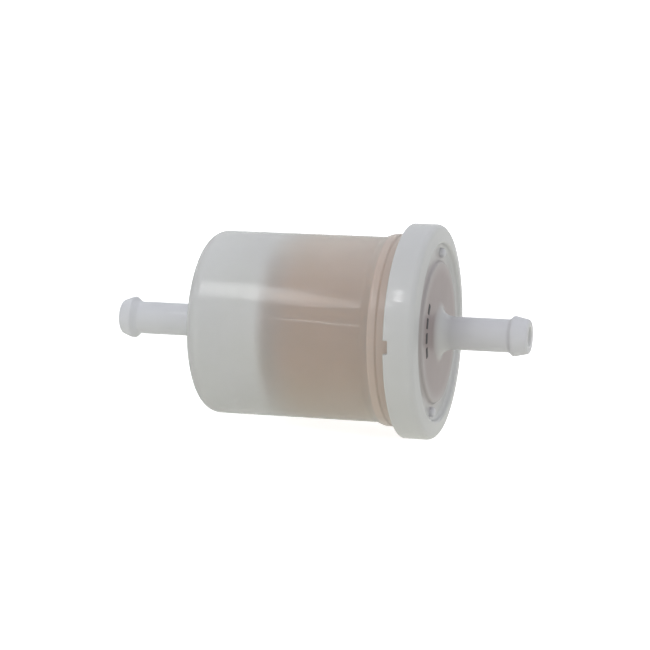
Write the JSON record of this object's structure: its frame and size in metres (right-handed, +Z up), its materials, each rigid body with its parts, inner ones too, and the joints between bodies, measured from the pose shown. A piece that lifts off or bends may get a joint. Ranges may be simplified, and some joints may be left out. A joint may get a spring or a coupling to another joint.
{
  "type": "in-line fuel filter",
  "caption": "Translucent in-line fuel filter for a small engine: round bowl with a welded cap, a barbed hose spigot at each end and a pleated paper element inside.",
  "frame": {"origin": "on the filter's axis, half way between the mouths of the two hose spigots", "axes": "+X along the axis in the direction of flow, towards the outlet spigot and the cap; -X towards the inlet spigot; +Z up with the filter lying in a level fuel line; the two notches in the cap's skirt face -Y and +Y"},
  "size_m": [0.1046, 0.0526, 0.0526],
  "materials": {
    "bowl_nylon": "milky translucent natural nylon, smooth moulded gloss",
    "cap_nylon": "milky translucent natural nylon, thicker and cloudier than the bowl",
    "filter_paper": "resin-treated pleated paper, beige, matt",
    "plate_nylon": "moulded end plate, tan, satin",
    "end_adhesive": "cured amber adhesive",
    "core_nylon": "natural nylon, satin",
    "clip_nylon": "natural nylon, satin",
    "seal_rubber": "black nitrile rubber"
  },
  "bodies": {
    "root": {"inlet_bowl": "bowl_nylon", "outlet_cap": "cap_nylon", "closed_end_plate": "plate_nylon", "open_end_plate": "plate_nylon", "closed_end_adhesive": "end_adhesive", "open_end_adhesive": "end_adhesive", "support_core": "core_nylon", "pleated_paper": "filter_paper", "seam_clip": "clip_nylon", "seal_ring": "seal_rubber"}
  },
  "joints": []
}
